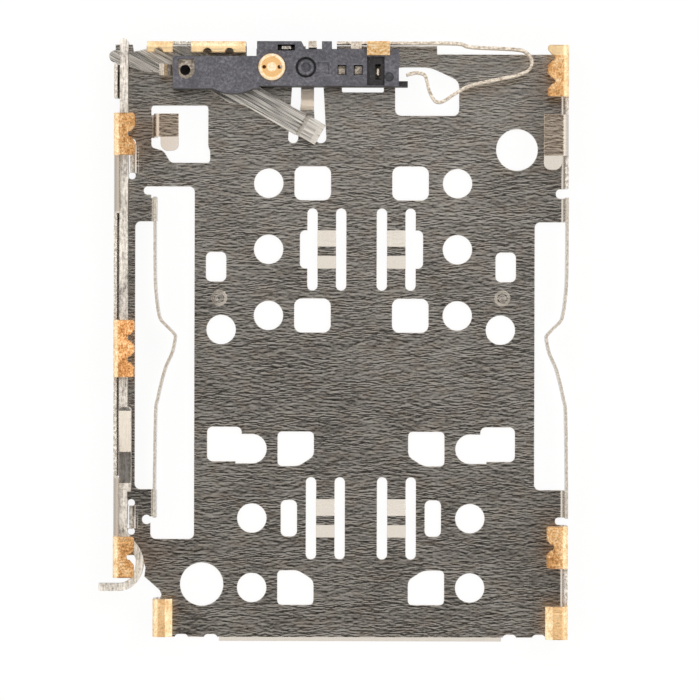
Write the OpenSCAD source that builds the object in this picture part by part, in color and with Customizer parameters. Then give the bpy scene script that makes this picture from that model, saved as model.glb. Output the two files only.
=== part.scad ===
// Push-eject SIM card reader: folded steel shell, eject rod and lever, and a
// moulded rear housing with the tray detect switch.
// X runs across the tray, Y from the tray mouth to the rear, Z from the plate
// to the solder feet. The origin is on the plate's outer face, on the tray's
// centre line, halfway between the front edge and the rear fold.

/* [Sheet] */
// Thickness of the stainless sheet
sheet_t = 0.12; // [0.1:0.01:0.14]
// Outer radius of the sheet's folds
bend_r = 0.25; // [0.22:0.01:0.28]
// Height from the plate's face to the face of the solder feet
shell_h = 1.35; // [1.35:0.01:1.6]

/* [Shell plan] */
// Clear width of the tray channel
tray_w = 14.86; // [14.6:0.02:16]
// Width of the bay beside the channel that the eject rod runs in
rod_bay_w = 1.33; // [1.3:0.01:1.5]
// Length of the plate from the front edge to the rear fold
shell_l = 21.8; // [21.6:0.05:24]
// Depth of the side windows that clear the leaf springs
window_w = 1.28; // [1.1:0.02:1.6]
// Length of the side windows and of the leaf springs in them
window_l = 9.8; // [9.4:0.05:10]

/* [Contact field openings] */
// Distance of the rear field's middle row from the rear fold
rear_field_in = 7.54; // [7.4:0.02:7.7]
// Distance between the rear field's rows
rear_pitch = 2.42; // [2.3:0.02:2.5]
// Distance of the front field's middle row from the front edge
front_field_in = 4.42; // [4.3:0.02:4.5]
// Distance between the front field's rows
front_pitch = 2.54; // [2.4:0.02:2.6]
// Diameter of the round openings
hole_d = 1.07; // [0.9:0.01:1.2]
// Side of the square openings
square_w = 1.28; // [1.1:0.02:1.34]
// Width of the long slots beside the hold-down tongues
slot_w = 0.37; // [0.3:0.01:0.45]
// Length of those slots
slot_l = 3.0; // [2.8:0.05:3.2]
// Width of a hold-down tongue
tongue_w = 0.68; // [0.55:0.01:0.75]
// Rise of a hold-down tongue above the plate
tongue_rise = 0.22; // [0.1:0.01:0.35]

/* [Solder feet] */
// Reach of a side foot from the outer face of its wall
foot_reach = 0.78; // [0.7:0.01:0.9]
// Depth of the notches in the feet
notch_d = 0.27; // [0.15:0.01:0.35]

/* [Leaf springs] */
// Thickness of a tray leaf spring
leaf_t = 0.1; // [0.08:0.01:0.12]
// Reach of its crest into the channel
leaf_crest = 0.75; // [0.5:0.01:0.95]
// Height of its blade
leaf_h = 0.75; // [0.5:0.05:0.8]

/* [Eject rod] */
// Thickness of the rod, seen from above
rod_w = 0.3; // [0.24:0.01:0.34]
// Height of the rod's blade
rod_h = 0.8; // [0.76:0.01:0.84]
// Length of the pad that the rod widens to
rod_pad_l = 3.1; // [2:0.1:4]
// Travel of the rod from rest to its stop
rod_stroke = 1.0; // [0.6:0.05:1]

/* [Eject lever] */
// Thickness of the lever
lever_t = 0.25; // [0.2:0.01:0.26]
// Distance from the pivot to the rod, across the reader
rod_arm = 2.22; // [2.15:0.01:2.3]
// Distance from the pivot to the lever's tip
tip_arm = 5.44; // [5.2:0.02:5.6]
// Width of the lever's tip
tip_w = 0.82; // [0.7:0.01:0.9]
// Radius of the moulded pivot post
pivot_r = 0.27; // [0.24:0.01:0.3]

/* [Housing] */
// Height of the housing's top over the plate's outer face
housing_top = 1.2; // [1.18:0.01:1.22]
// Length of the housing along the rear edge
housing_l = 8.22; // [8.1:0.02:8.4]
// Depth of the housing from its front edge to the rear step
housing_d = 1.34; // [1.3:0.01:1.4]
// Outer radius of the rivet's head
rivet_r = 0.49; // [0.4:0.01:0.52]

/* [Detect switch] */
// Thickness of the detect leaf
detect_t = 0.1; // [0.08:0.01:0.12]
// Height of the detect leaf's blade
detect_h = 0.6; // [0.5:0.02:0.64]

/* [Hidden] */
$fn = 48;

// Clearance of running fits and of seated inserts
fit = 0.02;
// Gaps under the lever, under the rod, and between the rod and the outer wall
lever_gap = 0.04;
rod_gap_z = 0.08;
rod_gap_x = 0.09;
// Overlap that joins two stretches of the same sheet
lap = 0.04;

// Walls: outer faces, and the lines where the folds begin
x_r = tray_w / 2 + sheet_t;
x_in = -x_r;
x_l = x_in - rod_bay_w - sheet_t;
y_r = shell_l / 2;
y_f = -y_r;
plate_r = x_r - bend_r;
plate_l = x_l + bend_r;
inner_fold = -tray_w / 2 - bend_r;

// Heights of the steel walls, the tray flanges and the guide ears
low_wall_h = 0.9;
flange_h = shell_h - 0.15;
ear_h = 0.46;

// Feet on the side walls: where each begins and ends
foot_1 = [y_r - 4.16, y_r - 2.62];
foot_2 = [-1.33, 0.76];
foot_3 = [y_f + 2.28, y_f + 3.79];
foot_a = [y_r - 2, y_r - 0.12];
foot_b = [y_f + 2.65, y_f + 4.2];
corner_r = [y_f + 0.07, y_f + 1.27];
corner_l = [y_f + 0.14, y_f + 1.52];
corner_reach = 0.72;
corner_lip = 5.16;
lip_wall_h = 1.15;

// Middle rows of the contact fields
rear_field_y = y_r - rear_field_in;
front_field_y = -y_f - front_field_in;

// Hold-down tongues: place beside the centre line, length, and crest
rear_tongue_x = 1.27;
front_tongue_x = 1.3;
tongue_l = 1.4;
tongue_crest = [-0.24, 0.1];

// Tray flanges, seen from above
flange_reach = 0.91;
flange_y = [y_r - 4.14, y_r - 2.64];

// Leaf springs: free length, roots in the wall, and blade
leaf_y = [-window_l / 2 - 0.53, window_l / 2 - 0.53];
leaf_x = x_r - leaf_t / 2;
root_front = 1;
root_rear = 0.87;
crest_y = 0.12;
leaf_z = flange_h - leaf_h;
// Their shape: share of the way from root to crest, and share of the crest's reach
rear_bow = [[0, 0], [0.5, 0.02], [0.71, 0.12], [0.78, 0.18], [0.85, 0.3], [0.92, 0.69], [0.97, 0.95]];
front_bow = [[0, 1], [0.09, 0.87], [0.15, 0.68], [0.2, 0.52], [0.3, 0.32], [0.41, 0.14], [0.5, 0.05], [1, 0]];

// Rod
rod_x = x_l + sheet_t + rod_gap_x + rod_w / 2;
rod_z = sheet_t + rod_gap_z;
rod_top = rod_z + rod_h;
hook_z = ear_h + 0.06;
rod_tip_y = y_r + 0.11;
hook_y = y_f + 1.93;
rod_bend_y = y_f + 4.2;
hook_out = x_l - 0.52;
ear_x = rod_x + rod_w / 2 + 0.05;
ears = [[y_r - 4.76, y_r - 3.74], [y_f + 4.03, y_f + 4.87]];

// Lever, laid out from its pivot
pivot_x = rod_x + rod_arm;
pivot_y = y_r - 1.04;
lever_z = sheet_t + lever_gap;
lever_top = lever_z + lever_t;
hub_r = 0.46;
knob_r = 0.22;
knob_x = -rod_arm - 0.36;
knob_y = 0.53;
tip_dir = -25.4;
tip_turn = -29;
tip_l = 0.82;
tip_lift = 0.22;

// Tongue that stops the tray, between the slots at the lever's tip
stop_w = 0.48;
stop_l = 0.81;
stop_at = [pivot_x + 4.45, y_r - 2.045];

// Housing, laid out from the pivot and the rear fold
pocket_top = lever_top + 0.05;
hx0 = pivot_x - 0.44;
hx1 = hx0 + housing_l;
hy1 = y_r - 0.28;
hy0 = hy1 - housing_d;
hy0_left = hy0 - 0.1;
hy1_left = hy1 - 0.26;
block_x = [pivot_x + 2.62, pivot_x + 4.38];
rivet_at = [pivot_x + 3.16, y_r - 0.94];
stud_at = [hx1 - 3.38, y_r - 0.95];
stud_r = 0.3;
stud_sunk = 0.12;
clip_hole_r = 0.19;
lug_x = [pivot_x + 3.52, pivot_x + 3.85];
lug_y = y_r - 0.22;
clip_z = 0.82;
clip_t = 0.1;
contact_z = 0.58;
contact_t = 0.1;
contact_x0 = block_x[1] + 0.11;
contact_end = hx1 - 0.1;
contact_tail = 0.3;
stub_x = [contact_x0 + contact_tail + 0.19, contact_x0 + contact_tail + 0.55];
contact_y = [hy0 + 0.3, hy0 + 0.76];
contact_windows = [hx1 - 2.23, hx1 - 1.64];

// Detect leaf
detect_y = y_r - detect_t / 2;
detect_z = 1.1 - detect_h;
detect_x0 = stub_x[1] + 0.18;
foot_t = 0.1;

steel = "#8f8a82";
nickel = "#c9c8c4";
lever_grey = "#9a9c98";
black = "#484b55";
brass = "#e8c46a";
leaf_grey = "#cbc5ba";

function unit(v) = v / norm(v);

function left_of(v) = [-v[1], v[0]];

// Direction of a path at its point i
function heading(p, i) = unit(p[min(i + 1, len(p) - 1)] - p[max(i - 1, 0)]);

// Outline of a strip of width w that follows a path
function ribbon(p, w) = concat(
    [for (i = [0:len(p) - 1]) p[i] + left_of(heading(p, i)) * w / 2],
    [for (i = [len(p) - 1:-1:0]) p[i] - left_of(heading(p, i)) * w / 2]);

// Point at t of a smooth curve from b to c, with neighbours a and d
function spline(a, b, c, d, t) = 0.5 * (2 * b + (c - a) * t
    + (2 * a - 5 * b + 4 * c - d) * t * t + (3 * b - a - 3 * c + d) * t * t * t);

// Smooth path through the points p, with n steps between two of them
function smooth(p, n) = concat(
    [for (i = [0:len(p) - 2], k = [0:n - 1])
        spline(p[max(i - 1, 0)], p[i], p[i + 1], p[min(i + 2, len(p) - 1)], k / n)],
    [p[len(p) - 1]]);

// Outline p with its corners rounded off over the length r of each side
function rounded(p, r) = [for (i = [0:len(p) - 1], t = [0:0.25:1])
    let (before = p[(i + len(p) - 1) % len(p)], after = p[(i + 1) % len(p)])
    p[i] + (1 - t) * (1 - t) * r * unit(before - p[i]) + t * t * r * unit(after - p[i])];

// Rectangle w by l about the middle, with round corners
module pad(w, l, r) {
    square([w - 2 * r, l], center = true);
    square([w, l - 2 * r], center = true);
    for (x = [-1, 1], y = [-1, 1]) translate([x * (w / 2 - r), y * (l / 2 - r)]) circle(r);
}

// Rectangle between two corners
module area(x, y) {
    translate([x[0], y[0]]) square([x[1] - x[0], y[1] - y[0]]);
}

// The same with round corners
module window(x, y, r) {
    translate([(x[0] + x[1]) / 2, (y[0] + y[1]) / 2]) pad(x[1] - x[0], y[1] - y[0], r);
}

// The same on both sides of the tray's centre line
module both() {
    children();
    mirror([1, 0, 0]) children();
}

// A profile in X and Z, run along Y
module run_y(y) {
    translate([0, y[1], 0]) rotate([90, 0, 0]) linear_extrude(y[1] - y[0]) children();
}

// A profile in Y and Z, run along X
module run_x(x) {
    translate([x[0], 0, 0]) rotate([90, 0, 90]) linear_extrude(x[1] - x[0]) children();
}

// Quarter of a fold, from the angle a on
module quarter(a) {
    rotate(a) intersection() {
        difference() {
            circle(bend_r);
            circle(bend_r - sheet_t);
        }
        square(bend_r);
    }
}

// Section of a folded edge with its outer face on X = 0 and the plate at -X.
// h is the wall's height and reach how far a foot goes back over the plate.
module fold_section(h, reach = 0) {
    translate([-bend_r, bend_r]) quarter(270);
    translate([-bend_r - lap, 0]) square([lap, sheet_t]);
    translate([-sheet_t, bend_r]) square([sheet_t, h - bend_r - (reach > 0 ? bend_r : 0)]);
    if (reach > 0) foot_section(h, reach);
}

// Upper fold and foot of that section
module foot_section(h, reach) {
    translate([-bend_r, h - bend_r]) quarter(0);
    translate([-reach, h - sheet_t]) square([reach - bend_r, sheet_t]);
}

// Section of a corner foot, its free end sloped down to the plate
module corner_section(reach) {
    slope = 0.26;
    drop = 0.18;
    fold_section(shell_h, reach - slope);
    translate([-reach, shell_h]) polygon([[0, -drop], [slope, 0], [slope + lap, 0], [slope + lap, -sheet_t],
        [slope, -sheet_t], [0, -drop - sheet_t]]);
}

module right_wall(y, h, reach = 0) {
    translate([x_r, 0, 0]) run_y(y) fold_section(h, reach);
}

module left_wall(y, h, reach = 0) {
    translate([x_l, 0, 0]) mirror([1, 0, 0]) run_y(y) fold_section(h, reach);
}

// Wall of the tray channel on the rod's side, folded up from the rod's bay
module inner_wall(y, h) {
    translate([-tray_w / 2, 0, 0]) run_y(y) fold_section(h);
}

// Block that keeps a side foot's notched outline, mouth of the notches at +X
module foot_plan(y, reach, notches) {
    difference() {
        union() {
            area([-reach - 1, -reach + 0.1], [y[0] + 0.1, y[1] - 0.1]);
            area([-reach + 0.1, 1], y);
        }
        area([-reach - 1, -reach], [y[0] - 1, y[1] + 1]);
        for (n = notches) translate([-reach, n]) notch();
    }
    for (e = [y[0] + 0.1, y[1] - 0.1]) translate([-reach + 0.1, e]) circle(0.1);
}

// Notch in the edge of a foot, cut towards +X
module notch() {
    mouth = 0.3;
    polygon([[-0.1, -mouth - 0.1], [notch_d - 0.08, -0.06], [notch_d - 0.08, 0.06], [-0.1, mouth + 0.1]]);
    translate([notch_d - 0.1, 0]) circle(0.1);
}

// Right-hand wall with a notched solder foot
module notched_foot(y, notches) {
    intersection() {
        right_wall(y, shell_h, foot_reach);
        translate([x_r, 0, -1]) linear_extrude(shell_h + 2) foot_plan(y, foot_reach, notches);
    }
}

// The same on the left outer wall
module left_foot(y, notches) {
    translate([x_l, 0, 0]) mirror([1, 0, 0]) translate([-x_r, 0, 0]) notched_foot(y, notches);
}

// Foot row on the rear edge, with its three small notches, over the lever
module rear_feet() {
    reach = 0.42;
    feet = [[pivot_x - 1.38, pivot_x - 0.43], [pivot_x + 0.22, pivot_x + 2.22]];
    open = pivot_x + 0.52;
    band = 1.02;
    difference() {
        union() {
            translate([0, y_r, 0]) {
                for (x = feet) run_x(x) fold_section(shell_h, reach);
                run_x([feet[0][1] - lap, feet[1][0] + lap]) fold_section(band);
            }
        }
        for (n = [pivot_x - 0.95, pivot_x + 0.82, pivot_x + 1.62])
            translate([n, y_r - reach, shell_h - 1 + bend_r]) cylinder(r = 0.16, h = 1);
        translate([feet[0][0] - 1, y_r - 1, -1]) cube([open - feet[0][0] + 1, 2, 1.62]);
    }
}

// Plan of the plate before its openings
module plate_outline() {
    ledge = 0.39;
    tab_y = [y_r - 0.32, y_r - 0.06];
    hook_top = foot_3[1] - 0.74;
    polygon([
        [plate_l, tab_y[0]], [x_l, tab_y[0]], [x_l, tab_y[1]], [rod_x + 0.27, tab_y[1]],
        [rod_x + 0.34, y_r - 0.45], [rod_x + 0.8, y_r - 0.3],
        [pivot_x + 0.52, y_r - 0.3], [pivot_x + 0.52, y_r - bend_r],
        [pivot_x + 2.22, y_r - bend_r], [pivot_x + 2.22, y_r - 0.5],
        [block_x[0] + 0.1, y_r - 0.5], [block_x[0] + 0.1, y_r - 0.1],
        [block_x[1], y_r - 0.1], [block_x[1], y_r - 0.3],
        [detect_x0, y_r - 0.3], [detect_x0, y_r - 0.09],
        [hx1 + 1.41, y_r - 0.09], [hx1 + 1.41, y_r - ledge], [plate_r, y_r - ledge],
        [plate_r, y_f + 0.07],
        [x_in + bend_r, y_f + 0.07], [x_in + bend_r, corner_l[1]],
        [x_in + 0.28, corner_l[1] + 0.1], [x_in + 0.21, corner_l[1] + 0.26],
        [x_in - 0.35, y_f + 2.27], [x_in - 0.31, y_f + 2.6],
        [x_in - 0.45, hook_top], [plate_l, hook_top]]);
}

// Coined lip at the mouth of the tray
module front_lip() {
    lip_y = y_f + 0.07;
    run_x([-corner_lip, corner_lip]) polygon([[lip_y + lap, 0], [lip_y + lap, sheet_t], [lip_y, sheet_t],
        [lip_y - 0.15, sheet_t / 4], [lip_y - 0.15, 0]]);
}

// Openings of the field of contacts at the rear
module rear_field() {
    for (s = [-1, 1]) translate([1.79, rear_field_y + s * rear_pitch])
        pad(square_w + 0.05, square_w - 0.04, 0.27);
    tongue_slots(rear_tongue_x, rear_field_y);
    translate([rear_tongue_x + tongue_w / 2 + slot_w + 0.06, rear_field_y]) pad(0.42, 1.4, 0.2);
}

// Its round openings, one row on each side
module rear_holes() {
    for (x = [-3.38, 3.53], s = [-1, 0, 1]) translate([x, rear_field_y + s * rear_pitch])
        circle(hole_d / 2);
}

// Openings of the field of contacts at the front
module front_field() {
    hole_x = 3.99;
    key_y = front_pitch - front_field_y;
    for (s = [-1, 0, 1]) translate([hole_x, -front_field_y + s * front_pitch]) circle(hole_d / 2);
    for (s = [-1, 1]) translate([2.39, -front_field_y + s * front_pitch])
        mirror([0, s > 0 ? 1 : 0]) square_cut();
    area([hole_x, hole_x + 0.6], [key_y - hole_d / 2, key_y + hole_d / 2]);
    translate([5, key_y + 0.17]) pad(1.26, 1.26, 0.2);
    translate([2.635, -front_field_y]) pad(0.59, 1.33, 0.2);
    tongue_slots(front_tongue_x, -front_field_y);
}

// Square opening with the corner nearest the tongues cut off
module square_cut() {
    w = square_w / 2 + 0.02;
    l = square_w / 2 - 0.01;
    polygon(rounded([[-w, -l], [w, -l], [w, l], [-w + 0.56, l], [-w, l - 0.36]], 0.18));
}

// Long slots on both sides of a hold-down tongue
module tongue_slots(x, y) {
    for (s = [-1, 1]) translate([x + s * (tongue_w + slot_w) / 2, y])
        pad(slot_w, slot_l, slot_w / 2 - 0.005);
}

// Openings at the rear: round the lever's tip, the detect leaf and the rod
module rear_openings() {
    translate([pivot_x + 4, y_r - 2.5]) rotate(-4.3) pad(0.36, 2.3, 0.17);
    translate([pivot_x + 4.89, y_r - 2.5]) rotate(3.3) pad(0.39, 2.3, 0.19);
    window([hx1 - 2.07, hx1 - 0.54], [y_r - 1.79, y_r - 1.58], 0.06);
    polygon(rounded([[hx1 - 0.12, y_r - 0.87], [hx1 + 1.16, y_r - 0.87], [hx1 + 2.22, y_r - 1.36],
        [hx1 + 2.22, y_r - 2.64], [hx1 - 0.12, y_r - 2.64]], 0.25));
    translate([rivet_at[0], rivet_at[1]]) circle(0.3 + fit);
    translate([5.7, y_r - 3.88]) circle(0.76);
    flange_window();
}

// Opening that the left tray flange was folded out of
module flange_window() {
    edge = inner_fold + 2.08;
    polygon(rounded([[inner_fold, y_r - 2.29], [edge, y_r - 2.29], [edge, y_r - 3.83],
        [edge + 0.07, y_r - 3.92], [edge + 0.07, y_r - 4.38], [inner_fold + 0.71, y_r - 4.38],
        [inner_fold + 0.45, y_r - 3.95], [inner_fold, y_r - 3.82]], 0.12));
}

// Side windows, open to the leaf springs
module side_windows() {
    ends = [leaf_y[0] - root_front - 0.82, leaf_y[1] + root_rear + 0.41];
    window([x_r - window_w + 0.09, x_r + 1], leaf_y, 0.2);
    window([inner_fold, inner_fold + window_w + 0.31], ends, 0.2);
    window([inner_fold - 0.58, inner_fold + 0.5], leaf_y, 0.2);
    window([inner_fold - 0.27, inner_fold + 0.5], [ends[1] - 0.3, ends[1]], 0.14);
    translate([inner_fold - 0.14, leaf_y[0] - root_front - 0.11]) circle(0.17);
}

// Openings near the front edge
module front_openings() {
    translate([-5.8, y_f + 2]) circle(0.79);
    both() for (x = [5.47, 6.54]) translate([x, y_f + 0.01]) pad(0.5, 0.32, 0.15);
}

// Openings on either side of the middle
module middle_openings() {
    both() {
        translate([5.3, 2.72]) pad(0.74, 1.08, 0.2);
        translate([5.11, 0.42]) circle(hole_d / 2);
    }
}

// Small openings that let the folds form
module reliefs() {
    window([x_r - 0.42, x_r + 1], [leaf_y[1] + root_rear, leaf_y[1] + root_rear + 0.34], 0.15);
    window([x_r - 0.42, x_r + 1], [foot_b[1], leaf_y[0] - root_front], 0.12);
    for (e = ears) {
        area([plate_l + 0.09, ear_x + bend_r], e);
        translate([ear_x + 0.06, e[0] - 0.1]) circle(0.13);
        translate([ear_x + 0.06, e[1] + 0.1]) circle(0.13);
    }
    for (s = [-1, 1]) {
        translate([s * rear_tongue_x, rear_field_y]) square([tongue_w, tongue_l], center = true);
        translate([s * front_tongue_x, -front_field_y]) square([tongue_w, tongue_l], center = true);
    }
    translate([stop_at[0], stop_at[1]]) square([stop_w, stop_l], center = true);
}

// Shallow steps pressed into the plate beside the guide ears
module ear_steps() {
    depth = 0.05;
    for (e = ears) translate([ear_x + bend_r + 0.01, e[0], sheet_t - depth]) cube([0.2, e[1] - e[0], 1]);
}

// Tongue pressed up out of the plate between its two slots, along Y
module tongue(at, w, l, rise, crest) {
    run = [[-l / 2 - lap, 0], [-l / 2, 0], [crest[0], rise], [crest[1], rise], [l / 2, 0], [l / 2 + lap, 0]];
    back = [for (i = [len(run) - 1:-1:0]) run[i] + [0, sheet_t]];
    translate([at[0], at[1], 0]) run_x([-w / 2, w / 2]) polygon(concat(run, back));
}

// Leaf spring on the right: bowed blade with a crest that holds the tray
function leaf_point(y, share) = [leaf_x - leaf_crest * share, y];
function leaf_path() = concat([leaf_point(leaf_y[1] + root_rear - lap, 0)],
    smooth(concat([for (b = rear_bow) leaf_point(leaf_y[1] + b[0] * (crest_y - leaf_y[1]), b[1])],
        [for (b = front_bow) leaf_point(crest_y + b[0] * (leaf_y[0] - crest_y), b[1])]), 3),
    [leaf_point(leaf_y[0] - root_front + lap, 0)]);
module leaf_spring() {
    translate([0, 0, leaf_z]) linear_extrude(leaf_h) polygon(ribbon(leaf_path(), leaf_t));
}

// Top of a tray flange, its wall's outer face on X = 0: flat, round at its
// corners, and ramped down at its end to guide the tray
module flange_top(y) {
    ramp_l = 0.5;
    ramp_d = 0.3;
    end_y = y[0] - ramp_l;
    intersection() {
        union() {
            run_y(y) foot_section(flange_h, flange_reach);
            run_x([-flange_reach - 0.1, -bend_r]) polygon([[y[0] + lap, flange_h], [y[0], flange_h],
                [end_y - 0.1, flange_h - ramp_d * 1.2], [end_y - 0.1, flange_h - ramp_d * 1.2 - sheet_t],
                [y[0], flange_h - sheet_t], [y[0] + lap, flange_h - sheet_t]]);
        }
        linear_extrude(shell_h) {
            window([-flange_reach, -bend_r], [end_y, y[1]], 0.25);
            area([-flange_reach, 1], [y[0], y[1] + 1]);
        }
    }
}

// Flange over the right side of the tray
module tray_flange() {
    right_wall(flange_y, flange_h - bend_r);
    right_wall([flange_y[0] - 0.5, flange_y[0] + lap], flange_h - bend_r - 0.1);
    translate([x_r, 0, 0]) flange_top(flange_y);
}

// Its twin on the rod's side, folded up and over out of its own window
module inner_flange() {
    y = [flange_y[0] + 0.66, flange_y[1]];
    inner_wall(y, flange_h - bend_r);
    translate([x_in, 0, 0]) mirror([1, 0, 0]) flange_top(y);
}

// Guide ear beside the rod
module guide_ear(y) {
    translate([ear_x, 0, 0]) mirror([1, 0, 0]) run_y(y) fold_section(ear_h);
}

// Stretch of the left wall whose top edge leans over the rod's gap
module lip_wall(y) {
    difference() {
        left_wall(y, lip_wall_h, bend_r + lap);
        translate([x_l + 0.22, y[0] - 1, lip_wall_h - bend_r]) cube([1, y[1] - y[0] + 2, 1]);
    }
}

module left_outer_wall() {
    left_wall([y_r - 2.05, y_r - 0.8], 1);
    left_foot(foot_1, [(foot_1[0] + foot_1[1]) / 2]);
    lip_wall([foot_1[0] - 2.1, foot_1[0] + lap]);
    left_wall([foot_2[1] - lap, foot_1[0] - 2.1 + lap], low_wall_h);
    left_foot(foot_2, [foot_2[0] + 0.65, foot_2[1] - 0.65]);
    left_wall([foot_3[1] + 2.1, foot_2[0] + lap], low_wall_h);
    lip_wall([foot_3[1] - lap, foot_3[1] + 2.1 + lap]);
    left_foot(foot_3, [(foot_3[0] + foot_3[1]) / 2]);
}

module right_side_wall() {
    notched_foot(foot_a, [foot_a[0] + 0.57, foot_a[1] - 0.46]);
    right_wall([flange_y[1] - lap, foot_a[0] + lap], 1);
    tray_flange();
    right_wall([leaf_y[1] + root_rear + 0.34, flange_y[0] - 0.4], 1);
    right_wall([leaf_y[1], leaf_y[1] + root_rear], flange_h);
    right_wall([leaf_y[0] - root_front, leaf_y[0]], flange_h);
    notched_foot(foot_b, [(foot_b[0] + foot_b[1]) / 2]);
    difference() {
        right_wall([corner_r[1] - lap, foot_b[0] + lap], 1);
        translate([x_r - bend_r, corner_r[1] + 0.1, 0.45]) cube([1, foot_b[0] - corner_r[1] - 0.25, 0.3]);
    }
    translate([x_r, 0, 0]) run_y(corner_r) corner_section(corner_reach + 0.1);
}

module rod_side_wall() {
    inner_flange();
    inner_wall([leaf_y[1], leaf_y[1] + root_rear], flange_h);
    inner_wall([leaf_y[0] - root_front, leaf_y[0]], flange_h);
    translate([x_in, 0, 0]) mirror([1, 0, 0]) run_y(corner_l) corner_section(corner_reach);
}

// Ways through the left wall: a slot at its foot, and room for the rod's hook
module left_wall_openings() {
    translate([x_l + sheet_t, foot_3[1] + 0.74, -1]) cube([0.16, 1.43, 1.3]);
    translate([x_l - 1, foot_3[0] - 0.1, -1]) cube([1.4, 1.04, rod_top + 1.05]);
}

module shell() {
    color(steel) {
        difference() {
            union() {
                linear_extrude(sheet_t) difference() {
                    plate_outline();
                    translate([0.02, 0]) both() {
                        rear_field();
                        front_field();
                    }
                    rear_holes();
                    rear_openings();
                    side_windows();
                    front_openings();
                    middle_openings();
                    reliefs();
                }
                left_outer_wall();
            }
            left_wall_openings();
            ear_steps();
        }
        front_lip();
        right_side_wall();
        rod_side_wall();
        rear_feet();
        both() leaf_spring();
        translate([0.02, 0, 0]) both() {
            tongue([rear_tongue_x, rear_field_y], tongue_w, tongue_l, tongue_rise, tongue_crest);
            tongue([front_tongue_x, -front_field_y], tongue_w, tongue_l, tongue_rise, tongue_crest);
        }
        tongue(stop_at, stop_w, stop_l, 0.17, [-0.24, -0.05]);
        for (e = ears) guide_ear(e);
        both() translate([5.18, 1.58, 0]) dimple();
        translate([lug_x[0], lug_y - sheet_t / 2, 0]) cube([lug_x[1] - lug_x[0], sheet_t, 1.05]);
    }
}

// Ring pressed up in the plate
module dimple() {
    rim = sheet_t + 0.09;
    rotate_extrude() polygon([[0, 0], [0.28, 0], [0.28, sheet_t], [0.2, rim], [0.13, rim], [0.07, rim - 0.06],
        [0, rim - 0.06]]);
}

// Rod: straight blade, widened pad, and the hook that an eject pin pushes
function hook_path() = smooth([[rod_x, rod_bend_y + 0.3], [rod_x, rod_bend_y - 0.15],
    [rod_x + 0.04, rod_bend_y - 0.37], [rod_x + 0.18, rod_bend_y - 0.55], [rod_x + 0.33, rod_bend_y - 0.72],
    [rod_x + 0.49, rod_bend_y - 0.94], [rod_x + 0.6, rod_bend_y - 1.21], [rod_x + 0.6, rod_bend_y - 1.5],
    [rod_x + 0.51, rod_bend_y - 1.83], [rod_x + 0.31, rod_bend_y - 2.1], [rod_x + 0.02, rod_bend_y - 2.25],
    [rod_x - 0.31, hook_y], [hook_out, hook_y]], 3);

// Side view of the pad: flat at the front, ramped up to the blade behind it
module pad_profile(y) {
    low = rod_top - 0.26;
    high = rod_top + 0.08;
    polygon([[y[0], rod_z + 0.1], [y[0], low + 0.21], [y[0] + 0.3, low], [y[1] - 1.65, low],
        [y[1] - 0.15, high], [y[1], high], [y[1], rod_z + 0.1]]);
}

module eject_rod() {
    pad_y = [-2.4 - rod_pad_l, -2.4];
    blade_x = [rod_x - rod_w / 2, rod_x + rod_w / 2];
    pad_x = [blade_x[0] - 0.01, blade_x[1] + 0.13];
    color(nickel) {
        difference() {
            translate([0, 0, rod_z]) linear_extrude(rod_h) {
                area(blade_x, [rod_bend_y, pad_y[0] + 2 * lap]);
                area(blade_x, [pad_y[1] - 2 * lap, rod_tip_y - rod_w / 2]);
                translate([rod_x, rod_tip_y - rod_w / 2]) circle(rod_w / 2);
            }
            translate([rod_x - 1, pivot_y + 0.02, 0]) cube([2, 0.94, pocket_top]);
        }
        intersection() {
            run_x([pad_x[0] - 1, pad_x[1] + 1]) pad_profile(pad_y);
            linear_extrude(shell_h) window(pad_x, [pad_y[0] - 1, pad_y[1]], 0.12);
        }
        translate([0, 0, hook_z]) linear_extrude(rod_top - hook_z) polygon(ribbon(hook_path(), rod_w - 0.02));
    }
}

// Point on the lever's bent tip: u along it from its end, v across it
function tip_at(u, v) = tip_arm * [cos(tip_dir), sin(tip_dir)]
    + u * [cos(tip_turn), sin(tip_turn)] + v * [-sin(tip_turn), cos(tip_turn)];

// Lever seen from above, from its pivot
module lever_plan() {
    circle(hub_r);
    translate([knob_x, knob_y]) circle(knob_r);
    polygon([[knob_x, knob_y - knob_r], [knob_x + 0.6, 0.12], [knob_x + 1.12, -0.03], [-0.3, -0.1],
        [0.2, -0.41], [0.83, -0.66], [1.61, -1.16], [2.12, -1.22],
        tip_at(-tip_l, -tip_w / 2 - 0.02), tip_at(-tip_l, tip_w / 2 + 0.02),
        [3.77, -1.23], [2.93, -0.72], [2.2, -0.25], [1.1, 0.45], [0.45, 0.85], [0.2, 0.93], [-0.47, 0.92],
        [knob_x + 1.12, 0.8], [knob_x + 0.6, 0.68], [knob_x, knob_y + knob_r]]);
}

module eject_lever() {
    color(lever_grey) translate([pivot_x, pivot_y, lever_z]) difference() {
        union() {
            linear_extrude(lever_t) lever_plan();
            translate([tip_at(0, 0)[0], tip_at(0, 0)[1], 0]) rotate(tip_turn) translate([0, tip_w / 2, 0])
                rotate([90, 0, 0]) linear_extrude(tip_w) tip_section();
        }
        translate([0, 0, -1]) cylinder(r = pivot_r + fit, h = 3);
    }
}

// Section of the tip: stepped up to meet the tray, its end turned down
module tip_section() {
    step = 0.2;
    droop = 0.12;
    inset = 0.03;
    polygon([[-tip_l - 0.1, inset], [-tip_l, inset], [-tip_l + step, tip_lift], [-step, tip_lift],
        [0, tip_lift - droop], [0, tip_lift - droop + lever_t * 0.8], [-step, tip_lift + lever_t],
        [-tip_l + step, tip_lift + lever_t], [-tip_l, lever_t - inset], [-tip_l - 0.1, lever_t - inset]]);
}

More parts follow.
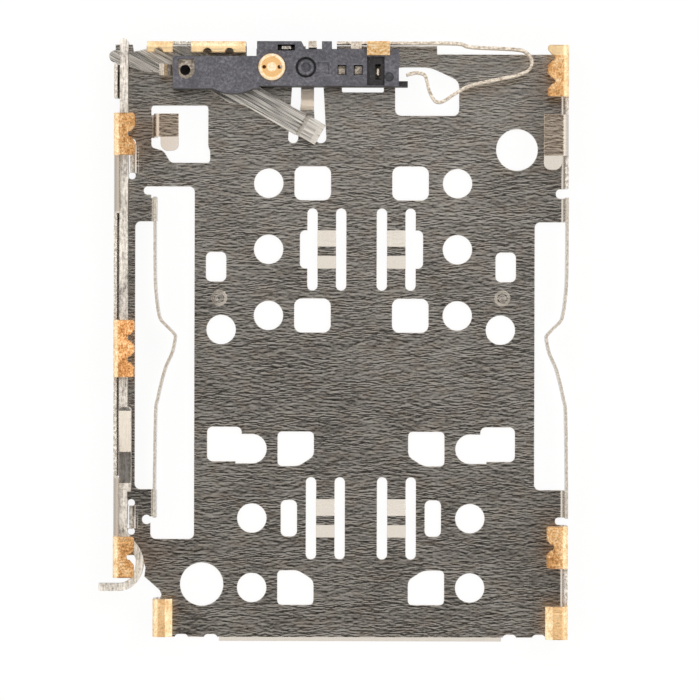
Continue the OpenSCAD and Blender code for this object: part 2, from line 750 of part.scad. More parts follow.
// Housing seen from above
module housing_plan() {
    area([hx0, block_x[0] + 0.08], [hy0_left, hy1_left]);
    area([block_x[0] - 0.02, hx1], [hy0, hy1]);
    area(stub_x, [hy0 + 0.2, y_r]);
    intersection() {
        translate([pivot_x + 1.75, y_r - 0.41]) circle(1.5);
        area([hx0, hx1], [hy0 - 1, hy1_left]);
    }
    polygon([[block_x[0], hy0], [block_x[0], y_r], [block_x[1] - 0.15, y_r], [block_x[1], hy1],
        [block_x[1], hy0]]);
}

// Room for the lever from rest to the end of its swing
module lever_pocket() {
    translate([pivot_x, pivot_y]) polygon([[-2, -0.42], [-0.35, -0.42], [-0.35, -2], [2.98, -2], [2.98, -0.5],
        [2.35, -0.1], [1.25, 0.65], [0.5, 1.2], [-2, 1.2]]);
}

module clip_plan() {
    translate([pivot_x, pivot_y]) {
        area([-0.36, 0.42], [-0.4, 0.45]);
        area([-0.44 - lap, 0], [-0.22, 0.2]);
    }
}

module contact_plan() {
    area([contact_x0, hx1], contact_y);
    area([contact_x0, contact_x0 + contact_tail], [contact_y[0], hy1 + lap]);
}

// D-shaped window over the clip
module d_window() {
    translate([pivot_x + 0.05, pivot_y - 0.03]) {
        circle(0.3);
        area([-0.3, 0.3], [0, 0.42]);
    }
}

module housing() {
    deep = 2;
    lid = clip_z + clip_t;
    seen = contact_z + contact_t;
    color(black) {
        difference() {
            translate([0, 0, sheet_t]) linear_extrude(housing_top - sheet_t) housing_plan();
            translate([0, 0, -1]) linear_extrude(pocket_top + 1) lever_pocket();
            translate([0, 0, clip_z]) linear_extrude(clip_t) clip_plan();
            translate([0, 0, lid - 0.01]) linear_extrude(deep) d_window();
            translate([0, 0, contact_z]) linear_extrude(contact_t) contact_plan();
            for (x = contact_windows) translate([x, contact_y[0] + 0.1, seen - 0.01])
                cube([0.32, 0.36, deep]);
            translate([hx1 - 1.16, hy0 + 0.02, housing_top - 0.1]) cube([0.64, 1.05, deep]);
            translate([hx1 - 0.86, hy0 + 0.24, seen - 0.01]) cube([0.2, 0.56, deep]);
            translate([hx1 - 0.35, hy0 + 0.33, housing_top - 0.06]) cylinder(r = 0.17, h = 1);
            translate([contact_end, contact_y[0], contact_z]) cube([1, 0.36, 0.36]);
            translate([lug_x[0] - 0.15, lug_y - 0.12, -1]) cube([lug_x[1] - lug_x[0] + 0.3, 0.22, 4]);
            translate([rivet_at[0], rivet_at[1], -1]) cylinder(r = 0.3 + fit, h = 4);
            translate([stud_at[0], stud_at[1], housing_top - stud_sunk]) cylinder(r = stud_r + 0.08, h = 1);
            translate([stud_at[0] + 0.34, stud_at[1] - 0.22, housing_top - 0.04]) cube([0.5, 0.4, 1]);
            translate([pivot_x, pivot_y, clip_z - 0.25]) cylinder(r = clip_hole_r, h = 1);
            translate([detect_x0 + 0.5, hy1 - 0.3, 0.99]) cube([0.42, 1, 0.12]);
        }
        translate([pivot_x, pivot_y, sheet_t]) cylinder(r = pivot_r, h = pocket_top - sheet_t + lap);
        translate([stud_at[0], stud_at[1], housing_top - stud_sunk - lap]) stud();
        translate([hx1 - lap, hy0, sheet_t]) cube([0.33 + lap, 0.2, 0.7]);
    }
}

// Round stud with a dished top
module stud() {
    top = stud_sunk + lap;
    rotate_extrude() polygon([[0, 0], [stud_r, 0], [stud_r, top - 0.06], [stud_r - 0.05, top],
        [stud_r - 0.11, top], [stud_r - 0.14, top - 0.06], [0, top - 0.06]]);
}

// Rivet: shank through housing and plate, ringed head
module housing_rivet() {
    shank_r = 0.3;
    core_r = 0.19;
    top = housing_top + 0.1;
    color(brass) translate([rivet_at[0], rivet_at[1], 0]) difference() {
        rotate_extrude() polygon([[0, 0], [shank_r, 0], [shank_r, housing_top], [rivet_r, housing_top],
            [rivet_r, top - 0.05], [rivet_r - 0.05, top], [rivet_r - 0.1, top], [rivet_r - 0.14, top - 0.06],
            [core_r, top - 0.06], [core_r - 0.03, top - 0.02], [0, top - 0.02]]);
        for (s = [-1, 1]) translate([s * 0.275, 0, housing_top - 0.02]) cylinder(r = 0.07, h = 1);
    }
}

module housing_clip() {
    tail_w = 0.42;
    color(leaf_grey) difference() {
        union() {
            translate([0, 0, clip_z]) linear_extrude(clip_t) clip_plan();
            translate([0, pivot_y - 0.22, 0]) run_y([0, tail_w]) polygon([[hx0, clip_z], [hx0 - 0.06, clip_z],
                [hx0 - 0.36, shell_h - clip_t], [hx0 - 0.48, shell_h - clip_t], [hx0 - 0.48, shell_h],
                [hx0 - 0.32, shell_h], [hx0 - 0.02, clip_z + clip_t], [hx0, clip_z + clip_t]]);
        }
        translate([pivot_x, pivot_y, 0]) cylinder(r = clip_hole_r, h = 3);
    }
}

module switch_contact() {
    color(leaf_grey) {
        translate([0, 0, contact_z]) linear_extrude(contact_t) contact_plan();
        for (x = contact_windows) translate([x + 0.03, contact_y[0] + 0.13, contact_z])
            cube([0.26, 0.3, 0.42]);
        translate([hx1 - 0.8, hy0 + 0.4, contact_z]) cube([0.07, 0.24, 0.45]);
        translate([contact_end, contact_y[0], contact_z]) cube([0.1, 0.36, 0.36]);
        run_x([contact_x0, contact_x0 + contact_tail]) polygon([[hy1, contact_z], [hy1 + 0.14, contact_z],
            [hy1 + 0.14, shell_h - contact_t], [y_r, shell_h - contact_t], [y_r, shell_h],
            [hy1 + 0.04, shell_h], [hy1 + 0.04, contact_z + contact_t], [hy1, contact_z + contact_t]]);
    }
}

// Detect leaf: along the rear, round the corner and back to the switch
function detect_path() = smooth([[detect_x0, detect_y], [hx1, detect_y], [hx1 + 2.08, detect_y],
    [hx1 + 2.63, detect_y - 0.13], [x_r - 1.95, y_r - 0.26], [x_r - 1.53, y_r - 0.39],
    [x_r - 1.35, y_r - 0.75],
    [x_r - 1.7, y_r - 1.15], [hx1 + 2.77, y_r - 1.53], [hx1 + 2.12, y_r - 1.83], [hx1 + 1.72, y_r - 2.1],
    [hx1 + 1.49, y_r - 2.19], [hx1 + 1.3, y_r - 2.12], [hx1 + 1.12, y_r - 1.8], [hx1 + 1.02, y_r - 1.4],
    [hx1 + 0.92, y_r - 1.18], [hx1 + 0.62, y_r - 1.12],
    [hx1 + 0.28, y_r - 1.2]], 4);

module detect_leaf() {
    foot_x = [hx1 - 1.16, hx1 - 0.33];
    color(leaf_grey) {
        translate([0, 0, detect_z]) linear_extrude(detect_h) polygon(ribbon(detect_path(), detect_t));
        translate([detect_x0 + 0.52, hy1 - 0.26, 1]) cube([0.38, y_r - hy1 + 0.26 - detect_t / 2, 0.1]);
        run_x(foot_x) polygon([[y_r - detect_t, 1], [y_r, 1], [y_r, shell_h - 0.04],
            [y_r - 0.04, shell_h], [y_r - 0.51, shell_h], [y_r - 0.51, shell_h - foot_t],
            [y_r - detect_t, shell_h - foot_t]]);
    }
}

shell();
housing();
eject_rod();
eject_lever();
housing_rivet();
housing_clip();
detect_leaf();
switch_contact();
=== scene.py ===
"""Looks of a push-eject SIM card reader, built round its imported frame.
Lengths are in metres unless a name ends in _MM or _mm."""
import math

import bpy
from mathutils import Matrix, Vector


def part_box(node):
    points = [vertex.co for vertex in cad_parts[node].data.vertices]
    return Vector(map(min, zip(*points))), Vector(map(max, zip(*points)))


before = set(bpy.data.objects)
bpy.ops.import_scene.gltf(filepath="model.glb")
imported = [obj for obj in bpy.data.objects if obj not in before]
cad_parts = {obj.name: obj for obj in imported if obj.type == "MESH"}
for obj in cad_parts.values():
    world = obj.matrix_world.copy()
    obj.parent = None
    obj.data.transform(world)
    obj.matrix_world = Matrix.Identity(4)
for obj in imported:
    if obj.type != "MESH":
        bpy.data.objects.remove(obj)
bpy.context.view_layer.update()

MM = 0.001

# The photograph: its size, its scale at the plate, and the origin's pixel in it
PHOTO_PX = 700
PX_PER_MM = 27.3
ORIGIN_PX = (360.7, 341.3)
CAMERA_HEIGHT_MM = 150.0
CAMERA_TURN_DEG = 0.15
SENSOR_MM = 36.0

# Brightness of the light tent, by the height of the direction: 0 level, 1 straight up
TENT_LEVEL_MAX = 2.0
TENT_LEVELS = [(0.0, 1.05), (0.6, 1.35), (0.82, 1.6), (0.91, 0.38), (0.96, 0.12), (1.0, 0.1)]
# Softboxes: name, place, size in metres, and power in watts
SOFTBOXES = [("key_softbox", (0.12, 0.10, 0.16), 0.12, 0.08),
             ("rear_softbox", (0.0, 0.05, 0.20), 0.03, 0.006)]

# Plated stretches of the walls, in mm along each wall
LEFT_FEET_MM = [(-8.62, -7.11), (-1.33, 0.76), (6.74, 8.28)]
RIGHT_FEET_MM = [(-10.9, -9.6), (-8.25, -6.70), (8.90, 10.8)]
REAR_FEET_MM = [(-7.85, -6.85), (-6.2, -4.15)]
LEFT_CORNER_MM = [(-10.9, -9.38)]
# The leaf springs, the tray flanges and the walls that lean over the rod, in mm along the tray
LEAVES_MM = [(-6.45, 5.25)]
FLANGES_MM = [(6.2, 8.3)]
LIP_WALLS_MM = [(4.7, 6.74), (-7.1, -5.0)]
# Corners of the tongue that stops the tray, and the height of the plate's face below it
STOP_TONGUE_MM = ((-2.24, 8.4), (-1.7, 9.3))
PLATE_FACE_MM = 0.122
# The plated walls: X of the left, right and corner ones, Y of the rear one, and their lower edge
PLATED_X_MM = (-8.0, 6.6, -6.7)
PLATED_Y_MM = 10.4
PLATED_Z_MM = (0.78, 0.86)
# The direction of the lever's arm
LEVER_ARM_DEG = -29
# The floor: its size, its drop below the plate, and the share of it that is plain white when seen
FLOOR_SIZE = 0.4
FLOOR_DROP = 0.00002
FLOOR_WHITE = 0.92
# Step between two rows of hairs in the noise, so that each row has its own
ROW_STEP = 7.31


def linear(code):
    """An sRGB hex colour as Blender's linear colour."""
    parts = [int(code[i:i + 2], 16) / 255 for i in (1, 3, 5)]
    return [p / 12.92 if p <= 0.04045 else ((p + 0.055) / 1.055) ** 2.4 for p in parts] + [1.0]


def add(tree, kind, *values, links=None, output=0, stops=(), **settings):
    """Adds a node and gives one of its outputs, or the node itself where output is None.

    values go to its inputs in order and links to those named, each a value or a socket; stops are
    the places and sRGB colours of a ramp."""
    node = tree.nodes.new("ShaderNode" + kind)
    for name, value in settings.items():
        setattr(node, name, value)
    for name, value in [*enumerate(values), *(links or {}).items()]:
        if isinstance(value, bpy.types.NodeSocket):
            tree.links.new(value, node.inputs[name])
        else:
            node.inputs[name].default_value = value
    for number, (place, code) in enumerate(stops):
        elements = node.color_ramp.elements
        element = elements[number] if number < len(elements) else elements.new(place)
        element.position = place
        element.color = linear(code)
    return node if output is None else node.outputs[output]


def product(tree, first, *others):
    """Product of masks and shares."""
    for other in others:
        first = add(tree, "Math", first, other, operation="MULTIPLY")
    return first


def coat(tree, colour, *coats):
    """A colour under coats, each given as its masks and shares and then its own colour."""
    for *masks, over in coats:
        over = linear(over) if isinstance(over, str) else over
        links = {0: product(tree, *masks), 6: colour, 7: over}
        colour = add(tree, "Mix", links=links, output=2, data_type="RGBA")
    return colour


def new_material(name):
    """A material with an empty tree, its shader, and the surface's place in mm."""
    material = bpy.data.materials.new(name)
    material.use_nodes = True
    tree = material.node_tree
    tree.nodes.clear()
    shader = add(tree, "BsdfPrincipled", output=None)
    add(tree, "OutputMaterial", shader.outputs["BSDF"], output=None, is_active_output=True)
    place = add(tree, "TexCoord", output="Object")
    place = add(tree, "VectorMath", place, links={"Scale": 1 / MM}, operation="SCALE")
    return material, tree, shader, place


def grain(tree, place, size_mm, angle=0.0, detail=3.0, rough=0.6):
    """Noise from 0 to 1 whose specks are size_mm long in X, Y and Z, turned about Z."""
    turned = add(tree, "VectorRotate", links={"Vector": place, "Angle": -angle})
    scaled = add(tree, "VectorMath", turned, [1 / s for s in size_mm], operation="MULTIPLY")
    return add(tree, "TexNoise", links={"Vector": scaled, "Scale": 1.0, "Detail": detail, "Roughness": rough})


def straight_hairs(tree, along, across, length_mm, width_mm):
    """Rows of straight hairs width_mm wide, round 0.5: where one row is pale, the next tends to be dark."""
    row = add(tree, "Math", add(tree, "Math", across, width_mm, operation="DIVIDE"), operation="FLOOR")
    noises = []
    for number in (row, add(tree, "Math", row, 1.0, operation="ADD")):
        place = add(tree, "CombineXYZ", add(tree, "Math", along, length_mm, operation="DIVIDE"),
                    product(tree, number, ROW_STEP))
        noises.append(add(tree, "TexNoise", links={"Vector": place, "Scale": 1.0, "Detail": 1.0}))
    return add(tree, "Math", add(tree, "Math", *noises, operation="SUBTRACT"), 0.5, operation="ADD")


def between(tree, value, stretches, soft=0.03):
    """1 where value lies in one of the stretches, with soft ends."""
    total = None
    for low, high in stretches:
        middle, half = (low + high) / 2, (high - low) / 2
        off = add(tree, "Math", add(tree, "Math", value, middle, operation="SUBTRACT"), operation="ABSOLUTE")
        inside = add(tree, "MapRange", off, half + soft, half - soft)
        total = inside if total is None else add(tree, "Math", total, inside, operation="MAXIMUM")
    return total


def plated(tree, axes):
    """Mask of the gold plating: the feet, and the wall below each of them."""
    x, y, z = axes
    left_x, right_x, corner_x = PLATED_X_MM
    walls = [(y, LEFT_FEET_MM, x, left_x, -0.02), (y, RIGHT_FEET_MM, x, right_x, 0.02),
             (x, REAR_FEET_MM, y, PLATED_Y_MM, 0.02), (y, LEFT_CORNER_MM, x, corner_x, -0.02)]
    side = 0.0
    for along, stretches, across, face, soft in walls:
        wall = product(tree, between(tree, along, stretches),
                       add(tree, "MapRange", across, face, face + soft))
        side = add(tree, "Math", side, wall, operation="MAXIMUM")
    return product(tree, side, add(tree, "MapRange", z, *PLATED_Z_MM))


def upward(tree, low=0.93, high=0.99):
    """1 on faces that look straight up, 0 on bends, ramps and walls."""
    normal = add(tree, "NewGeometry", output="True Normal")
    return add(tree, "MapRange", add(tree, "SeparateXYZ", normal, output=2), low, high)


def near_edge(tree, radius_mm):
    """1 along the edges of a piece, 0 farther from them than the radius."""
    rounded = add(tree, "Bevel", links={"Radius": radius_mm * MM}, samples=6)
    true = add(tree, "NewGeometry", output="True Normal")
    agree = add(tree, "VectorMath", rounded, true, output="Value", operation="DOT_PRODUCT")
    return add(tree, "MapRange", agree, 0.99, 0.8)


def mixed(tree, *parts):
    """Sum of noises, each with its weight."""
    total = None
    for value, weight in parts:
        part = product(tree, value, weight)
        total = part if total is None else add(tree, "Math", total, part, operation="ADD")
    return total


def soften_edges(tree, radius_mm, height, distance_mm, strength):
    """Normals rounded over the stamped edges, with the marks of the surface as a bump on them."""
    bevel = add(tree, "Bevel", links={"Radius": radius_mm * MM}, samples=6)
    return add(tree, "Bump", links={"Height": height, "Distance": distance_mm * MM, "Strength": strength,
                                    "Normal": bevel})


def connect(tree, shader, **sockets):
    """Links or sets the shader's inputs, named with underscores for spaces."""
    for name, value in sockets.items():
        socket = shader.inputs[name.replace("_", " ")]
        if isinstance(value, bpy.types.NodeSocket):
            tree.links.new(value, socket)
        else:
            socket.default_value = value


def brushed_stainless():
    """Cold rolled stainless sheet, brushed across the tray before stamping, its feet plated with gold.

    The brushing gives short dark and light hairs, about one pixel high, that break up a satin grey.
    The blanked tops of the walls are bare, and painted bright as a highlight; the plating is painted pale
    on the bends as a highlight, and is orange and grainy on the flats."""
    material, tree, shader, place = new_material("brushed_stainless_gold_plated_feet")
    x, y, z = axes = add(tree, "SeparateXYZ", place, output=None).outputs
    # Straight hairs 0.04 mm wide; a fine belt's are half that, too fine to show
    hairs = straight_hairs(tree, x, y, 0.28, 0.038)
    strokes = straight_hairs(tree, x, y, 0.6, 0.055)
    wisps = grain(tree, place, (0.16, 0.017, 0.3), detail=1.0, rough=0.6)
    cloud = grain(tree, place, (2.2, 1.6, 1.6), detail=2.0)
    tone = mixed(tree, (hairs, 0.42), (strokes, 0.24), (wisps, 0.24), (cloud, 0.1))
    # Calm colours, as most of the contrast of the hairs comes from their roughness
    steel = add(tree, "ValToRGB", tone,
                stops=[(0.38, "#797570"), (0.46, "#a5a19b"), (0.52, "#beb9b3"), (0.58, "#d8d4ce")])
    # Patches left warmer by the annealing furnace
    warm = add(tree, "MapRange", grain(tree, place, (0.8, 0.5, 0.8), detail=3.0), 0.46, 0.64)
    steel = coat(tree, steel, (warm, 0.14, "#c4a284"))
    # Painted highlight: pale, warm colour on the rounded burr round every opening
    rim_highlight = near_edge(tree, 0.05)
    steel = coat(tree, steel, (rim_highlight, 0.35, "#f4e6d6"))
    # A few marks left along the tray by the press's feed
    feed = add(tree, "MapRange", grain(tree, place, (0.035, 2.4, 0.5), detail=1.0), 0.66, 0.72)
    steel = coat(tree, steel, (feed, 0.35, "#f0ece6"))
    flat = upward(tree)
    # Ramps and bends take one long reflection, painted here as a pale, even grey that hides the hairs
    bend_sheen = add(tree, "Math", 1.0, flat, operation="SUBTRACT")
    steel = coat(tree, steel, (bend_sheen, 0.88, "#cac5bf"))
    # Painted highlight: the upward tops of the walls and leaf springs are bare cut edges, painted near white
    # for the light they catch
    walls = product(tree, add(tree, "MapRange", z, 0.4, 0.44), add(tree, "MapRange", z, 1.09, 1.05))
    leaves = product(tree, between(tree, y, LEAVES_MM), add(tree, "MapRange", z, 1.1, 1.12))
    edge = product(tree, add(tree, "Math", walls, leaves, operation="MAXIMUM"), flat)
    nicks = grain(tree, place, (0.07, 0.12, 0.1), detail=2.0)
    bare = add(tree, "ValToRGB", nicks, stops=[(0.38, "#c3bbb1"), (0.5, "#e6e0d8"), (0.6, "#fffcf5")])
    steel = coat(tree, steel, (edge, bare))
    # The leaf springs' edges are duller, and the folded flanges warmer, than the rest
    steel = coat(tree, steel, (leaves, flat, 0.6, "#c9c1b6"))
    flange = product(tree, between(tree, y, FLANGES_MM), add(tree, "MapRange", z, 1.15, 1.17))
    steel = coat(tree, steel, (flange, flat, 0.45, "#efd3b6"))
    lip = product(tree, add(tree, "MapRange", x, -8.6, -8.7), add(tree, "MapRange", z, 1.0, 1.05),
                  between(tree, y, LIP_WALLS_MM))
    steel = coat(tree, steel, (lip, 0.7, "#a79d92"))
    # Painted reflection: a warm glow of the gold feet on the plate beside them
    near_left = product(tree, between(tree, y, LEFT_FEET_MM, 0.5), add(tree, "MapRange", x, -6.4, -8.0))
    near_right = product(tree, between(tree, y, RIGHT_FEET_MM, 0.5), add(tree, "MapRange", x, 6.1, 7.1))
    gold_glow = add(tree, "Math", near_left, near_right, operation="MAXIMUM")
    steel = coat(tree, steel, (gold_glow, 0.25, "#c08a5a"))
    grains = mixed(tree, (grain(tree, place, (0.06, 0.08, 0.08), detail=2.0, rough=0.7), 0.62),
                   (grain(tree, place, (0.3, 0.35, 0.3), detail=1.0), 0.38))
    flat_gold = add(tree, "ValToRGB", grains,
                    stops=[(0.36, "#ad7946"), (0.46, "#dca76e"), (0.54, "#f5c88f"), (0.62, "#ffe6c0")])
    # The rear feet are paler and even
    rear = add(tree, "MapRange", y, PLATED_Y_MM, PLATED_Y_MM + 0.02)
    flat_gold = coat(tree, flat_gold, (rear, 0.75, "#ffe9bd"))
    # The front corners are paler than the feet too
    corner = add(tree, "MapRange", y, -9.2, -9.35)
    flat_gold = coat(tree, flat_gold, (corner, 0.6, "#fcd9a6"))
    # Darker brown along the edges of the feet's flats
    flat_gold = coat(tree, flat_gold, (near_edge(tree, 0.09), 0.6, "#8f5a2c"))
    # Painted highlight: the plating on the bends is a paler copy of the flats' gold, which stays darker and
    # more orange
    bend_gold = add(tree, "ValToRGB", grains, stops=[(0.36, "#dcb685"), (0.5, "#f6dcb0"), (0.6, "#fff0d2")])
    gold = coat(tree, bend_gold, (flat, flat_gold))
    mask = plated(tree, axes)
    # The pale hairs are the torn ones, and scatter more than the dark ones
    rough = add(tree, "Math", add(tree, "MapRange", tone, 0.41, 0.56, 0.18, 0.37),
                product(tree, mask, 0.24), operation="ADD")
    # The tongue that stops the tray was drawn up, and its skin is matt; it is also painted pale, painted
    # light over the shade the housing casts on it
    low, high = STOP_TONGUE_MM
    stop = product(tree, between(tree, x, [(low[0], high[0])]), between(tree, y, [(low[1], high[1])]),
                   add(tree, "MapRange", z, PLATE_FACE_MM, PLATE_FACE_MM + 0.018))
    steel = coat(tree, steel, (stop, 0.8, "#fff6ea"))
    matt = add(tree, "Math", product(tree, edge, 0.25), product(tree, stop, 0.5), operation="MAXIMUM")
    connect(tree, shader, Base_Color=coat(tree, steel, (mask, gold)), Metallic=1.0,
            Roughness=add(tree, "Math", rough, matt, operation="ADD"),
            Normal=soften_edges(tree, 0.025, tone, 0.004, 0.5))
    return material


def stamped_nickel():
    """Stamped steel rod, nickel plated: rolled on its flats, torn and pitted along the blanked edge.

    The blanked edge, which is what shows from above, is bright with dark pits; the pad is satin."""
    material, tree, shader, place = new_material("stamped_nickel_plated_steel")
    z = add(tree, "SeparateXYZ", place, output=2)
    marks = grain(tree, place, (0.06, 0.5, 0.3), detail=2.0)
    pits = grain(tree, place, (0.1, 0.14, 0.1), detail=3.0, rough=0.65)
    worn = grain(tree, place, (0.6, 1.1, 0.6), detail=1.0)
    tone = mixed(tree, (marks, 0.35), (pits, 0.4), (worn, 0.25))
    torn = add(tree, "ValToRGB", tone,
               stops=[(0.36, "#8c8783"), (0.44, "#c6c1bb"), (0.51, "#e6e1da"), (0.6, "#fdfaf4")])
    rolled = add(tree, "ValToRGB", tone, stops=[(0.36, "#8a857f"), (0.5, "#b9b3ab"), (0.6, "#dfdad3")])
    blanked = product(tree, add(tree, "MapRange", z, 0.97, 0.99), add(tree, "MapRange", z, 1.03, 1.01))
    # The pad's ramp is painted bright, a painted reflection
    up = add(tree, "SeparateXYZ", add(tree, "NewGeometry", output="True Normal"), output=2)
    ramp_sheen = product(tree, add(tree, "MapRange", up, 0.988, 0.98), add(tree, "MapRange", up, 0.94, 0.96))
    torn = coat(tree, torn, (ramp_sheen, 0.85, "#ebe4da"))
    blanked = add(tree, "Math", blanked, ramp_sheen, operation="MAXIMUM")
    connect(tree, shader, Base_Color=coat(tree, rolled, (blanked, torn)), Metallic=1.0,
            Roughness=add(tree, "MapRange", blanked, 0.0, 1.0, 0.3, 0.66),
            Normal=soften_edges(tree, 0.04, tone, 0.006, 0.5))
    return material


def brushed_lever_steel():
    """Stainless lever, belt brushed along its arm before it was blanked.

    Hairs run the length of the arm, and the stepped tip is painted paler as a highlight."""
    material, tree, shader, place = new_material("belt_brushed_lever_stainless")
    z = add(tree, "SeparateXYZ", place, output=2)
    arm_angle = math.radians(LEVER_ARM_DEG)
    hairs = grain(tree, place, (1.3, 0.022, 0.3), angle=arm_angle, detail=1.0, rough=0.65)
    bands = grain(tree, place, (4.0, 0.08, 0.3), angle=arm_angle, detail=0.0)
    tone = mixed(tree, (hairs, 0.7), (bands, 0.3))
    arm = add(tree, "ValToRGB", tone,
              stops=[(0.37, "#8a8783"), (0.45, "#b9b5af"), (0.51, "#d3cfca"), (0.57, "#ebe8e3")])
    # The coined tip is matt from its die, and painted paler as a highlight, most of all on its steps
    steps = add(tree, "MapRange", upward(tree), 0.0, 1.0, 1.0, 0.45)
    coined = product(tree, add(tree, "MapRange", z, 0.44, 0.56), steps)
    rough = add(tree, "MapRange", tone, 0.4, 0.56, 0.2, 0.54)
    connect(tree, shader, Metallic=1.0,
            Base_Color=coat(tree, arm, (coined, 0.6, "#e8e5e0")),
            Roughness=add(tree, "Math", rough, product(tree, coined, 0.36), operation="ADD"),
            Normal=soften_edges(tree, 0.035, tone, 0.006, 0.6))
    return material


def moulded_polymer():
    """Injection moulded liquid crystal polymer with glass filler.

    Matt slate, mottled at 0.1 mm where the filler lies near the skin, with a few pale flecks; the
    recesses are painted darker, as painted shade."""
    material, tree, shader, place = new_material("moulded_glass_filled_lcp")
    z = add(tree, "SeparateXYZ", place, output=2)
    skin = grain(tree, place, (0.1, 0.1, 0.1), detail=4.0, rough=0.7)
    cloud = grain(tree, place, (0.7, 0.5, 0.5), detail=2.0)
    tone = mixed(tree, (skin, 0.7), (cloud, 0.3))
    base = add(tree, "ValToRGB", tone, stops=[(0.34, "#393940"), (0.5, "#53535c"), (0.64, "#74747c")])
    # Painted shade: a darker copy of the slate for all that lies below the top face
    sunk = add(tree, "ValToRGB", tone, stops=[(0.34, "#151517"), (0.5, "#232226"), (0.64, "#38363a")])
    base = coat(tree, sunk, (add(tree, "MapRange", z, 1.12, 1.16), base))
    # Filler flecks, drawn at 0.1 mm, coarser than the real fibres
    cells = add(tree, "TexVoronoi", links={"Vector": place, "Scale": 9.0}, output="Distance")
    flecks = product(tree, add(tree, "MapRange", cells, 0.17, 0.08), add(tree, "MapRange", skin, 0.5, 0.6))
    connect(tree, shader,
            Base_Color=coat(tree, base, (flecks, 0.45, "#a9a6a6")),
            Roughness=add(tree, "MapRange", skin, 0.35, 0.65, 0.7, 0.55),
            Normal=soften_edges(tree, 0.03, skin, 0.01, 0.6))
    return material


def turned_brass():
    """Rivet turned from brass and lightly gilt: fine rings round its axis, soil, and painted shade in its
    groove and pits.
    """
    material, tree, shader, place = new_material("turned_brass_rivet")
    low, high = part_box("housing_rivet")
    middle = (low + high) / 2 / MM
    off = add(tree, "VectorMath", place, [middle.x, middle.y, 0], operation="SUBTRACT")
    x, y, z = add(tree, "SeparateXYZ", off, output=None).outputs
    flat = add(tree, "CombineXYZ", x, y)
    radius = add(tree, "VectorMath", flat, output="Value", operation="LENGTH")
    # Rings 0.05 mm apart, the feed of the tool
    rings = add(tree, "Math", product(tree, radius, 2 * math.pi / 0.05), operation="SINE")
    soil = grain(tree, place, (0.12, 0.12, 0.12), detail=3.0)
    tone = add(tree, "Math", soil, product(tree, rings, 0.05), operation="ADD")
    brass = add(tree, "ValToRGB", tone, stops=[(0.3, "#eed0a0"), (0.5, "#ffeccb"), (0.66, "#fffaec")])
    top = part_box("housing")[1].z / MM
    # Painted shade: the floor of the groove is duller, and the two tool pits dark brown
    groove = coat(tree, linear("#efc992"), (add(tree, "MapRange", z, top + 0.045, top + 0.07), brass))
    pits = add(tree, "MapRange", z, top + 0.02, top - 0.01)
    connect(tree, shader, Metallic=1.0, Roughness=0.62,
            Base_Color=coat(tree, groove, (pits, "#6b4a26")),
            Normal=soften_edges(tree, 0.02, tone, 0.004, 0.4))
    return material


def rolled_contact_alloy(name, gold_from_mm, gold_to_mm):
    """Rolled copper alloy strip: warm nickel, with gold between two heights, where it is soldered."""
    material, tree, shader, place = new_material(name)
    z = add(tree, "SeparateXYZ", place, output=2)
    lines = grain(tree, place, (0.3, 0.08, 0.05), detail=3.0)
    spots = grain(tree, place, (0.09, 0.09, 0.09), detail=2.0)
    tone = mixed(tree, (lines, 0.5), (spots, 0.5))
    bare = add(tree, "ValToRGB", tone,
               stops=[(0.34, "#9a8f82"), (0.46, "#d0c5b7"), (0.55, "#efe6da"), (0.64, "#fffaf0")])
    gold = add(tree, "ValToRGB", tone,
               stops=[(0.34, "#c08a4c"), (0.46, "#ecc084"), (0.55, "#ffdfb0"), (0.64, "#fff0d4")])
    mask = product(tree, add(tree, "MapRange", z, gold_from_mm, gold_from_mm + 0.02),
                   add(tree, "MapRange", z, gold_to_mm + 0.02, gold_to_mm))
    # What lies inside the housing's windows is matt, and so it still shows
    connect(tree, shader, Base_Color=coat(tree, bare, (mask, gold)), Metallic=1.0,
            Roughness=add(tree, "MapRange", z, 1.15, 1.05, 0.48, 0.75),
            Normal=soften_edges(tree, 0.02, tone, 0.004, 0.5))
    return material


def dress():
    """Gives every node its finish."""
    finishes = {
        "shell": brushed_stainless(),
        "housing": moulded_polymer(),
        "eject_rod": stamped_nickel(),
        "eject_lever": brushed_lever_steel(),
        "housing_rivet": turned_brass(),
        "housing_clip": rolled_contact_alloy("rolled_clip_alloy", 1.2, 1.3),
        "detect_leaf": rolled_contact_alloy("rolled_leaf_alloy", 1.2, 1.5),
        "switch_contact": rolled_contact_alloy("rolled_contact_alloy", 2.0, 2.1),
    }
    for name, finish in finishes.items():
        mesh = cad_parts[name].data
        mesh.materials.clear()
        mesh.materials.append(finish)


def white_when_seen(tree, share, lit, white):
    """Shader that is mostly plain white to the camera and in reflections, and lit otherwise."""
    rays = add(tree, "LightPath", output=None).outputs
    seen = add(tree, "Math", rays["Is Camera Ray"], rays["Is Transmission Ray"], operation="MAXIMUM")
    seen = add(tree, "Math", seen, rays["Is Glossy Ray"], operation="MAXIMUM")
    return add(tree, "MixShader", product(tree, seen, share), lit, white)


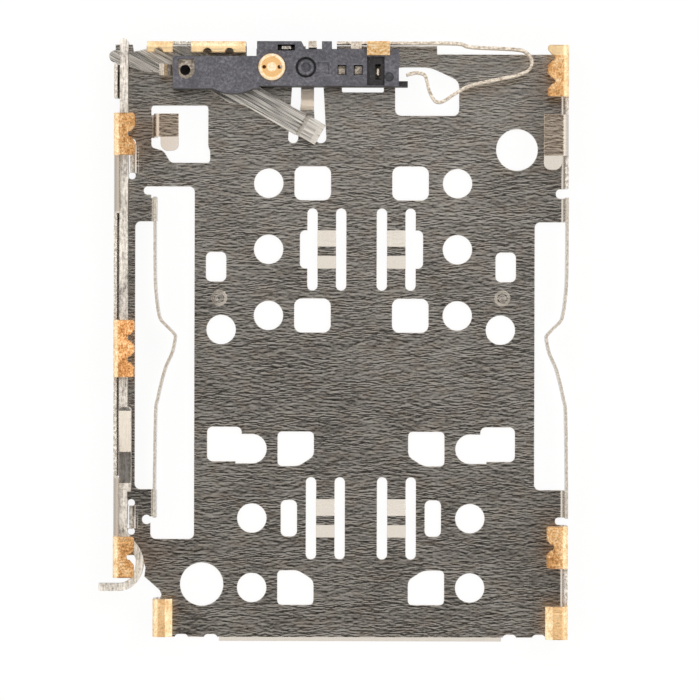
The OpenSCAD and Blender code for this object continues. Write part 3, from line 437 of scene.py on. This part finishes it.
def floor():
    """Pale floor under the plate; it keeps a faint shadow."""
    bpy.ops.mesh.primitive_plane_add(size=FLOOR_SIZE, location=(0, 0, -FLOOR_DROP))
    plane = bpy.context.object
    plane.name = "pale_floor"
    material = bpy.data.materials.new("pale_floor")
    material.use_nodes = True
    tree = material.node_tree
    tree.nodes.clear()
    lit = add(tree, "BsdfDiffuse", links={"Color": linear("#fafafa")})
    white = add(tree, "Emission", links={"Color": linear("#ffffff"), "Strength": 1.0})
    add(tree, "OutputMaterial", white_when_seen(tree, FLOOR_WHITE, lit, white), output=None)
    plane.data.materials.append(material)


def studio():
    """Light tent: bright all round, dark straight above, where the camera looks down from.

    The flats mirror the dark opening and the bends and ramps mirror the bright walls."""
    world = bpy.data.worlds.new("studio")
    bpy.context.scene.world = world
    world.use_nodes = True
    tree = world.node_tree
    tree.nodes.clear()
    up = add(tree, "SeparateXYZ", add(tree, "TexCoord", output="Generated"), output=2)
    level = add(tree, "FloatCurve", links={"Value": up}, output=None)
    curve = level.mapping.curves[0]
    while len(curve.points) < len(TENT_LEVELS):
        curve.points.new(0.5, 0.5)
    for point, (place, value) in zip(curve.points, TENT_LEVELS):
        point.location = (place, value / TENT_LEVEL_MAX)
        point.handle_type = "VECTOR"
    level.mapping.update()
    strength = product(tree, level.outputs[0], TENT_LEVEL_MAX)
    around = add(tree, "Background", links={"Color": linear("#fffbf5"), "Strength": strength})
    add(tree, "OutputWorld", around, output=None)
    for name, place, size, power in SOFTBOXES:
        light = bpy.data.lights.new(name, "AREA")
        light.size = size
        light.energy = power
        lamp = bpy.data.objects.new(name, light)
        lamp.location = place
        lamp.rotation_euler = (-Vector(place)).to_track_quat("-Z", "Y").to_euler()
        bpy.context.scene.collection.objects.link(lamp)


def camera():
    """Straight above, framed as the photograph is."""
    middle = [(PHOTO_PX / 2 - ORIGIN_PX[0]) / PX_PER_MM, (ORIGIN_PX[1] - PHOTO_PX / 2) / PX_PER_MM]
    data = bpy.data.cameras.new("camera")
    data.sensor_width = SENSOR_MM
    data.lens = SENSOR_MM * CAMERA_HEIGHT_MM / (PHOTO_PX / PX_PER_MM)
    data.clip_start = 0.01
    data.clip_end = 5
    view = bpy.data.objects.new("camera", data)
    view.location = (middle[0] * MM, middle[1] * MM, CAMERA_HEIGHT_MM * MM)
    view.rotation_euler = (0, 0, math.radians(CAMERA_TURN_DEG))
    bpy.context.scene.collection.objects.link(view)
    bpy.context.scene.camera = view


camera()
studio()
floor()
dress()
bpy.context.scene.view_settings.view_transform = "Standard"
